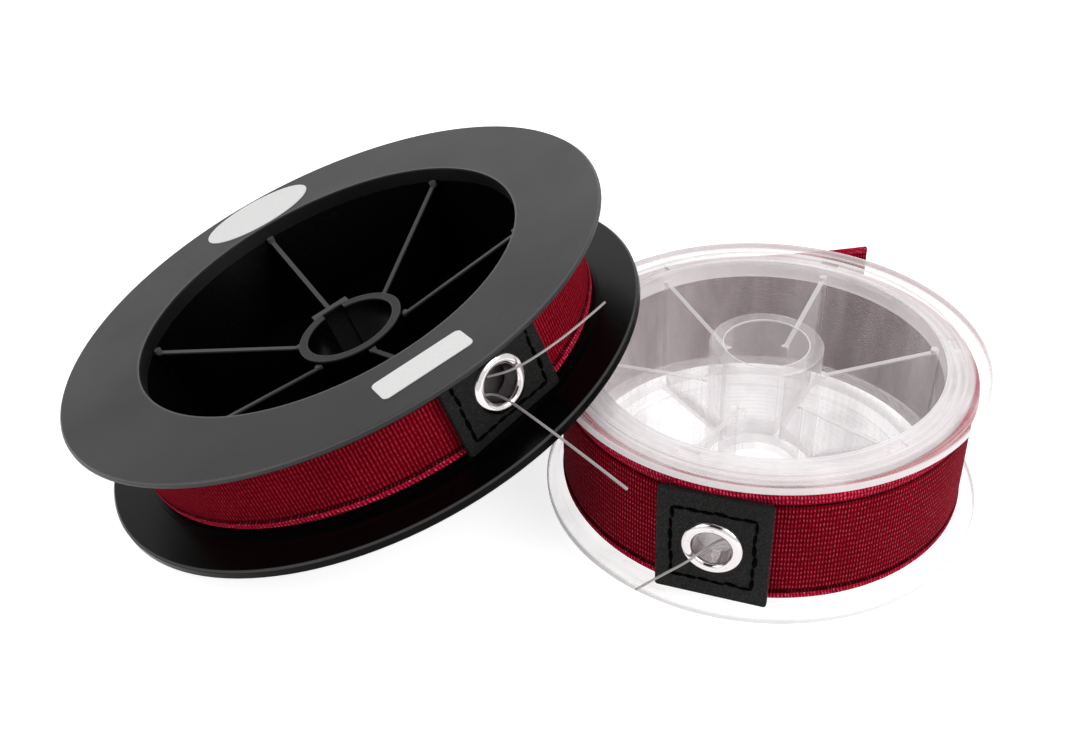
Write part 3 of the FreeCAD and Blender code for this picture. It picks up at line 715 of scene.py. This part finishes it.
def material_leatherette(look):
    """Stiff black leatherette with a low grain, painted shade in its creases, and a slight shine.
    """
    nodes = Finish("leatherette")
    grain = nodes.shared("Grain", Scale=1900.0)
    clouds = nodes.shared("Scuffs", Scale=500.0)["Clouds"]
    tint = nodes.colours(clouds, look.leather_colour, tinted(look.leather_colour, 1.5))
    # The grain's creases are darkened to half as painted shade; the clouds are the leatherette's
    # own mottling.
    return nodes.shade(
        Base_Color=nodes.colours(grain["Creases"], tint, tinted(look.leather_colour, 0.5)),
        Roughness=nodes.total(0.5, (grain["Creases"], 0.2)), Specular_IOR_Level=0.1,
        Normal=nodes.bump(grain["Height"], 0.03 * MM, 0.5))


def material_thread(name, tint):
    """Twisted sewing thread."""
    nodes = Finish(name)
    twist = nodes.noise(nodes.place, 2500.0)
    return nodes.shade(
        Base_Color=nodes.colours(twist, tinted(tint, 0.5), tinted(tint, 1.6)),
        Roughness=0.8, Specular_IOR_Level=0.02, Normal=nodes.bump(twist, 0.08 * MM))


def material_nickel(look):
    """Polished nickel with hairline scratches."""
    nodes = Finish("nickel")
    marks = nodes.shared("Scuffs", Scale=700.0)
    return nodes.shade(
        Base_Color=nodes.colours(
            marks["Scratches"], look.nickel_colour, tinted(look.nickel_colour, 0.8)),
        Roughness=nodes.total(0.11, (marks["Clouds"], 0.1)), Metallic=1.0)


def material_paper(look):
    """White label paper."""
    nodes = Finish("label paper")
    fibres = nodes.shared("Grain", Scale=2600.0)
    return nodes.shade(
        Base_Color=nodes.colours(
            fibres["Creases"], look.paper_colour, tinted(look.paper_colour, 0.93)),
        Roughness=0.55, Normal=nodes.bump(fibres["Height"], 0.01 * MM, 0.4))


def material_floor(look):
    """Pale floor that shows white to the camera and keeps its shadows."""
    nodes = Finish("floor")
    speckle = nodes.noise(nodes.place, 40.0)
    return nodes.shade(
        Base_Color=nodes.colours(speckle, look.floor_colour, tinted(look.floor_colour, 0.985)),
        Roughness=0.9, Specular_IOR_Level=0.1, Emission_Color=(1, 1, 1),
        Emission_Strength=nodes.times(seen_rays(nodes), look.floor_lift))


def seen_rays(nodes):
    """1 for rays that the eye follows: camera, glossy and transmission rays."""
    path = nodes.add("LightPath").outputs
    return nodes.most(path["Is Camera Ray"], path["Is Glossy Ray"], path["Is Transmission Ray"])


# Operators

class WINDER_OT_stage(bpy.types.Operator):
    """Add the floor, the soft lamps and the camera"""
    bl_idname = "winder.stage"
    bl_label = "Stage"

    def execute(self, context):
        look = context.scene.winder_stage
        build_groups()
        new_object("floor", grid(1.5), [material_floor(look)])
        self.add_world(context, look)
        self.add_card()
        self.add_lamp("key", (0.4, -0.28, 0.42), 0.45, look.key_power)
        self.add_lamp("fill", (-0.45, -0.2, 0.35), 0.4, look.key_power * 0.35)
        self.add_lamp("back", (-0.05, 0.5, 0.4), 0.5, look.key_power * 0.25)
        self.add_camera(context, look)
        context.scene.cycles.transparent_max_bounces = 24
        context.scene.view_settings.view_transform = "Standard"
        return {"FINISHED"}

    def add_world(self, context, look):
        """A soft white room, as bright as white where it is seen."""
        world = bpy.data.worlds.new("soft room")
        world.use_nodes = True
        nodes = Nodes(world.node_tree)
        nodes.feed(
            world.node_tree.nodes["Background"].inputs, Color=(1, 1, 1),
            Strength=nodes.between(look.world_light, 1.0, seen_rays(nodes)))
        context.scene.world = world

    def add_card(self):
        """A dark card high on the left, which only reflections show."""
        place = Vector((-0.3, -0.4, 0.66))
        dark = Finish("dark card").shade(Base_Color=(0.02, 0.02, 0.02), Roughness=0.9)
        card = new_object("dark_card", grid(0.45, facing(place, place, "Z")), [dark])
        for ray in ("camera", "diffuse", "shadow", "transmission"):
            setattr(card, "visible_" + ray, False)

    def add_lamp(self, name, place, size, power):
        """A round soft lamp that points at the winders."""
        lamp = bpy.data.lights.new(name, "AREA")
        lamp.shape = "DISK"
        lamp.size = size
        lamp.energy = power
        aim = Vector((-0.04, 0.01, 0.015)) - Vector(place)
        add_object(name, lamp).matrix_world = facing(place, aim, "-Z")

    def add_camera(self, context, look):
        """The camera, which looks down and leans a little."""
        lens = bpy.data.cameras.new("camera")
        lens.sensor_fit = "HORIZONTAL"
        lens.sensor_width = 36
        lens.lens = look.lens
        lens.clip_start = 0.01
        camera = add_object("camera", lens)
        tilt = Matrix.Rotation(math.pi / 2 - look.camera_pitch, 4, "X")
        lean = Matrix.Rotation(look.camera_roll, 4, "Z")
        camera.matrix_world = Matrix.Translation(look.camera_place) @ tilt @ lean
        context.scene.camera = camera


class WINDER_OT_tails(bpy.types.Operator):
    """Add the free ends of the line"""
    bl_idname = "winder.tails"
    bl_label = "Free line ends"

    def execute(self, context):
        look = context.scene.winder_spools
        strand = material_line()
        for node, (winder, size, route) in TAILS.items():
            place = band_place(winder)
            points = [place @ (Vector((side, -out, up)) * MM) for side, out, up in route]
            curve = bpy.data.curves.new(node.replace("tail", "end"), "CURVE")
            curve.dimensions = "3D"
            curve.bevel_depth = look.line_diameter / 2
            curve.bevel_resolution = 3
            curve.use_fill_caps = True
            curve.resolution_u = 24
            spline = curve.splines.new("NURBS")
            spline.points.add(len(points) - 1)
            for control, point in zip(spline.points, points):
                control.co = (*point, 1)
            spline.order_u = 3
            spline.use_endpoint_u = True
            curve.materials.append(strand)
            piece = add_object(curve.name, curve)
            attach(piece, winder + "_keeper")
            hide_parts(node)
        return {"FINISHED"}


class WINDER_OT_spools(bpy.types.Operator):
    """Finish the moulded halves of both spools"""
    bl_idname = "winder.spools"
    bl_label = "Spools"

    def execute(self, context):
        look = context.scene.winder_spools
        finish_node("clear_lower_half", material_clear_plastic(
            "clear barrel", look, look.barrel_haze, look.barrel_haze, 0.04, rim=35.0))
        finish_node("clear_upper_flange", material_clear_plastic(
            "clear flange", look, look.flange_haze, look.brim_haze, 0.2, rim=34.0))
        finish_node("black_lower_half", material_black_plastic(
            "gloss black", look, look.gloss_roughness, grain=0.008, shine=0.06,
            rim=47.5, rim_top=1.75))
        finish_node("black_upper_flange", material_black_plastic(
            "satin black", look, look.satin_roughness, grain=0.02, shine=0.4,
            rim=47.0, rim_top=18.75))
        return {"FINISHED"}


class WINDER_OT_wound_line(bpy.types.Operator):
    """Wind the line on both barrels"""
    bl_idname = "winder.wound_line"
    bl_label = "Wound line"

    def execute(self, context):
        look = context.scene.winder_spools
        covers = {"clear": look.line_cover, "black": look.thin_line_cover}
        for winder, size in SHAPES.items():
            nylon = material_wound_line(winder + " winder nylon", look, covers[winder])
            inner, outer = size.wound_inner, size.wound_radius
            low, high = size.wound_low, size.wound_high
            section = ((inner, 0, low), (outer, 0, low), (outer, 0, high), (inner, 0, high))
            bm = spun(section, 180)
            unroll(bm, math.tau * outer / look.line_diameter, look.line_diameter)
            add_piece(
                winder, "line_turns", bm, [nylon], winder_place(winder),
                ["wound_line"], body="spool")
        return {"FINISHED"}


class WINDER_OT_bands(bpy.types.Operator):
    """Weave the elastic bands and sew their tabs"""
    bl_idname = "winder.bands"
    bl_label = "Elastic bands"

    def execute(self, context):
        look = context.scene.winder_elastic
        woven = (look.gap_shade_colour, look.crown_colour, look.glint_colour)
        dotted = material_elastic("crimson dotted elastic", 0.0, 0.1, 0.55, *woven)
        ribbed = material_elastic(
            "crimson ribbed elastic", 0.0, 0.12, 0.16,
            look.gap_shade_colour, look.ribbed_crown, look.ribbed_glint)
        # The rolled edges' lighter colours are painted light.
        edging = material_elastic(
            "crimson edging", 0.3, 0.25, 0.4,
            look.edging_gap_shade, look.edging_lit_crown, look.edging_glint)
        # The seams' colours are the weave's at a quarter: painted shade in the sunken seams.
        seam_shade = [tinted(tint, 0.25) for tint in woven]
        seam = material_elastic("crimson seam shade", 0.0, 0.2, 0.5, *seam_shade)
        cloths = {"clear": [dotted, edging, seam], "black": [ribbed, edging, seam]}
        thread = material_thread("crimson thread", look.thread_colour)
        for winder, size in SHAPES.items():
            tab = self.add_tab(winder, size, look, cloths[winder])
            stitches = self.add_tab_stitches(winder, size, thread)
            band = self.add_band(winder, size, look, cloths[winder])
        return {"FINISHED"}

    def section(self, size, look):
        """Outline of the elastic: rolled edges, and a sunken seam inside each."""
        outer, low, high = size.band_radius, size.band_low, size.band_high
        inner, bed, half, roll = outer - look.wall, -look.seam_depth, look.seam_half, 0.4 * MM
        sides = []
        for edge, sense, drop, swell in (
                (low, 1, look.seam_above, look.low_swell),
                (high, -1, look.seam_below, look.high_swell)):
            rim = (
                (-roll, 0.0), (-0.05 * MM, 0.12 * MM), (swell * 0.7, roll),
                (swell, drop * 0.45), (swell * 0.3, drop - half * 1.2),
                (bed, drop - half * 0.35), (bed, drop + half * 0.35),
                (-0.08 * MM, drop + half), (0.0, drop + half * 2))
            sides.append([(outer + out, 0, edge + sense * rise) for out, rise in rim])
        middle = [(outer, 0, low + (high - low) * part / 6) for part in range(2, 5)]
        back = [
            (inner + roll, 0, high), (inner, 0, high - roll),
            (inner, 0, low + roll), (inner + roll, 0, low)]
        return sides[0] + middle + sides[1][::-1] + back

    def zone(self, up, size, look):
        """0 on the woven middle, 1 on the rolled edges and 2 in the seams."""
        sides = ((up - size.band_low, look.seam_above), (size.band_high - up, look.seam_below))
        for rise, drop in sides:
            if abs(rise - drop) < look.seam_half * 0.9:
                return 2
            if rise < drop:
                return 1
        return 0

    def add_band(self, winder, size, look, materials):
        """The band, with the hole for its eyelet."""
        bm = spun(self.section(size, look), look.steps)
        pitch = look.rib_pitch if winder == "clear" else look.wide_rib_pitch
        unroll(bm, round(math.tau * size.band_radius / pitch), look.pick_pitch)
        for face in bm.faces:
            face.material_index = self.zone(face.calc_center_median().z, size, look)
        for vert in bm.verts:
            near = min(vert.co.z - size.band_low, size.band_high - vert.co.z)
            if 0.2 * MM < near < 3 * MM:
                drift = noise.noise(Vector((vert.co.x, vert.co.y, 0)) * 160)
                vert.co.z += drift * 0.12 * MM
        cut_hole(bm, size.band_radius, size.eyelet_height)
        return add_piece(
            winder, "elastic", bm, materials, band_place(winder), ["band"],
            smooth=70)

    def add_tab(self, winder, size, look, materials):
        """The two ends of the elastic, laid together and standing off the band."""
        low = size.band_low + 0.3 * MM
        bm = bmesh.new()
        for layer, reach in enumerate((size.tab_length, size.tab_length - 0.5 * MM)):
            part = block((reach, 0.96 * MM, size.tab_rise))
            bevel(part, part.edges, 0.28 * MM)
            out = size.band_radius + TAB_STAND - (layer + 0.5) * look.wall
            middle = (reach / 2, out, low + size.tab_rise / 2)
            bmesh.ops.translate(part, vec=middle, verts=part.verts)
            for cut in range(1, 12):
                bmesh.ops.bisect_plane(
                    part, geom=part.verts[:] + part.edges[:] + part.faces[:],
                    plane_co=(cut * size.tab_length / 12, 0, 0), plane_no=(1, 0, 0))
            for vert in part.verts:
                along = vert.co.x / size.tab_length
                parting = max(0.0, along - 0.55)
                vert.co.y += (0.5 - layer) * parting * 0.3 * MM - parting * 0.2 * MM
                vert.co.z += size.tab_lift * along ** 2
            mesh = bpy.data.meshes.new("layer")
            part.to_mesh(mesh)
            part.free()
            bm.from_mesh(mesh)
            bpy.data.meshes.remove(mesh)
        layer = bm.loops.layers.uv.new("Weave")
        for face in bm.faces:
            up = face.calc_center_median().z - low
            face.material_index = int(min(up, size.tab_rise - up) < look.seam_above)
            for loop in face.loops:
                across, out, rise = loop.vert.co
                loop[layer].uv = ((across + out) / look.rib_pitch, rise / look.pick_pitch)
        return add_piece(
            winder, "tab", bm, materials, tab_place(winder), smooth=50)

    def add_tab_stitches(self, winder, size, thread):
        """Stitches through both layers of the tab."""
        out = size.band_radius + TAB_STAND + 0.02 * MM
        bm = bmesh.new()
        chance = random.Random(5)
        for index in range(int((size.tab_rise - 1.5 * MM) / TAB_STITCH_PITCH)):
            up = size.band_low + 1.4 * MM + index * TAB_STITCH_PITCH
            lean = chance.uniform(-0.12, 0.12)
            add_stitch(bm, (10.2 * MM, out, up), lean, (0.2 * MM, 0.17 * MM, 0.78 * MM))
        return add_piece(
            winder, "tab_stitches", bm, [thread], tab_place(winder),
            ["tab_thread"])


class WINDER_OT_patches(bpy.types.Operator):
    """Cut the leatherette patches and sew them on"""
    bl_idname = "winder.patches"
    bl_label = "Patches"

    def execute(self, context):
        look = context.scene.winder_patch
        leather = material_leatherette(look)
        thread = material_thread("black thread", look.thread_colour)
        for winder, size in SHAPES.items():
            self.add_patch(winder, size, look, leather)
            self.add_stitches(winder, size, look, thread)
        return {"FINISHED"}

    def add_patch(self, winder, size, look, leather):
        """The flat patch, with the hole for its eyelet."""
        back = patch_back(winder)
        bm = block((size.patch_width, look.wall, size.patch_height))
        corners = [e for e in bm.edges if abs(e.verts[0].co.y - e.verts[1].co.y) > look.wall / 2]
        bevel(bm, corners, look.corner_round, 4)
        rims = [e for e in bm.edges if e.calc_face_angle(0.0) > math.radians(60)]
        bevel(bm, rims, look.edge_round)
        middle = (0, -back - look.wall / 2, size.patch_middle)
        bmesh.ops.translate(bm, vec=middle, verts=bm.verts)
        cut_hole(bm, back, size.eyelet_height)
        add_piece(
            winder, "leather_patch", bm, [leather], band_place(winder), ["patch"])

    def add_stitches(self, winder, size, look, thread):
        """Stitches along the four sides of a square."""
        face = patch_back(winder) + look.wall
        wide, tall = size.stitch_width, size.stitch_height
        chance = random.Random(11)
        bm = bmesh.new()
        for run, other, upright in ((wide, tall, False), (tall, wide, True)):
            count = round(run / (look.stitch_length + look.stitch_gap))
            for side in (-1, 1):
                for index in range(count):
                    along = -run / 2 + (index + 0.5) * run / count
                    across = side * other / 2 + chance.uniform(-0.12, 0.12) * MM
                    side_step, rise = (across, along) if upright else (along, across)
                    middle = (side_step, -face, size.patch_middle + rise)
                    lean = chance.uniform(-0.1, 0.1) + (math.pi / 2 if upright else 0)
                    half = look.stitch_length / 2 * chance.uniform(0.98, 1.16)
                    thick = chance.uniform(0.25, 0.4) * MM
                    add_stitch(bm, middle, lean, (half, 0.22 * MM, thick))
        add_piece(
            winder, "patch_stitches", bm, [thread], band_place(winder),
            ["patch_thread"])


class WINDER_OT_eyelets(bpy.types.Operator):
    """Roll the nickel eyelets over the patches"""
    bl_idname = "winder.eyelets"
    bl_label = "Eyelets"

    def execute(self, context):
        look = context.scene.winder_patch
        nickel = material_nickel(look)
        bore, rim, rise = look.eyelet_bore, look.eyelet_radius, look.eyelet_rise
        for winder, size in SHAPES.items():
            height = size.eyelet_height
            face = patch_back(winder) + look.wall
            back = size.band_radius - 1.6 * MM
            roll = [(bore + out * MM, face + rise * up) for out, up in (
                (0.05, 0.35), (0.22, 0.75), (0.5, 0.96), (0.8, 1.0), (1.15, 0.9))]
            brim = [(rim - inset * MM, face + rise * up) for inset, up in (
                (0.25, 0.66), (0.06, 0.35), (0.0, 0.0))]
            barrel = bore + 0.3 * MM
            section = [
                (bore, back), (bore, face - 0.1 * MM), *roll, *brim, (barrel, face), (barrel, back)]
            points = [(out, -reach, height) for out, reach in section]
            add_piece(
                winder, "nickel_eyelet", spun(points, 96, (0, 1, 0), (0, 0, height)), [nickel],
                band_place(winder), ["eyelet"], smooth=50)
            finish_node(winder + "_eyelet_washer", nickel)
        return {"FINISHED"}


class WINDER_OT_labels(bpy.types.Operator):
    """Give the two labels their paper"""
    bl_idname = "winder.labels"
    bl_label = "Labels"

    def execute(self, context):
        paper = material_paper(context.scene.winder_spools)
        for node in ("oval_label", "strip_label"):
            finish_node(node, paper)
        return {"FINISHED"}


class WINDER_PT_panel(bpy.types.Panel):
    """Sizes, colours and steps of the winders"""
    bl_idname = "WINDER_PT_panel"
    bl_label = "Line winders"
    bl_space_type = "VIEW_3D"
    bl_region_type = "UI"
    bl_category = "Winders"

    def draw(self, context):
        for group in GROUPS:
            settings = getattr(context.scene, group)
            box = self.layout.box()
            for key in settings.bl_rna.properties.keys():
                if key not in ("rna_type", "name"):
                    box.prop(settings, key)
        for operator in OPERATORS:
            self.layout.operator(operator.bl_idname)


GROUPS = {
    "winder_stage": StageSettings,
    "winder_spools": SpoolSettings,
    "winder_elastic": ElasticSettings,
    "winder_patch": PatchSettings,
}
OPERATORS = (
    WINDER_OT_stage,
    WINDER_OT_tails,
    WINDER_OT_spools,
    WINDER_OT_wound_line,
    WINDER_OT_bands,
    WINDER_OT_patches,
    WINDER_OT_eyelets,
    WINDER_OT_labels,
)
CLASSES = (*GROUPS.values(), *OPERATORS, WINDER_PT_panel)


def register():
    for item in CLASSES:
        bpy.utils.register_class(item)
    for name, group in GROUPS.items():
        setattr(bpy.types.Scene, name, PointerProperty(type=group))


def unregister():
    for name in GROUPS:
        delattr(bpy.types.Scene, name)
    for item in reversed(CLASSES):
        bpy.utils.unregister_class(item)


def main():
    """Builds everything in order."""
    register()
    bpy.ops.winder.stage()
    bpy.ops.winder.tails()
    bpy.ops.winder.spools()
    bpy.ops.winder.wound_line()
    bpy.ops.winder.bands()
    bpy.ops.winder.patches()
    bpy.ops.winder.eyelets()
    bpy.ops.winder.labels()


if __name__ == "__main__":
    main()
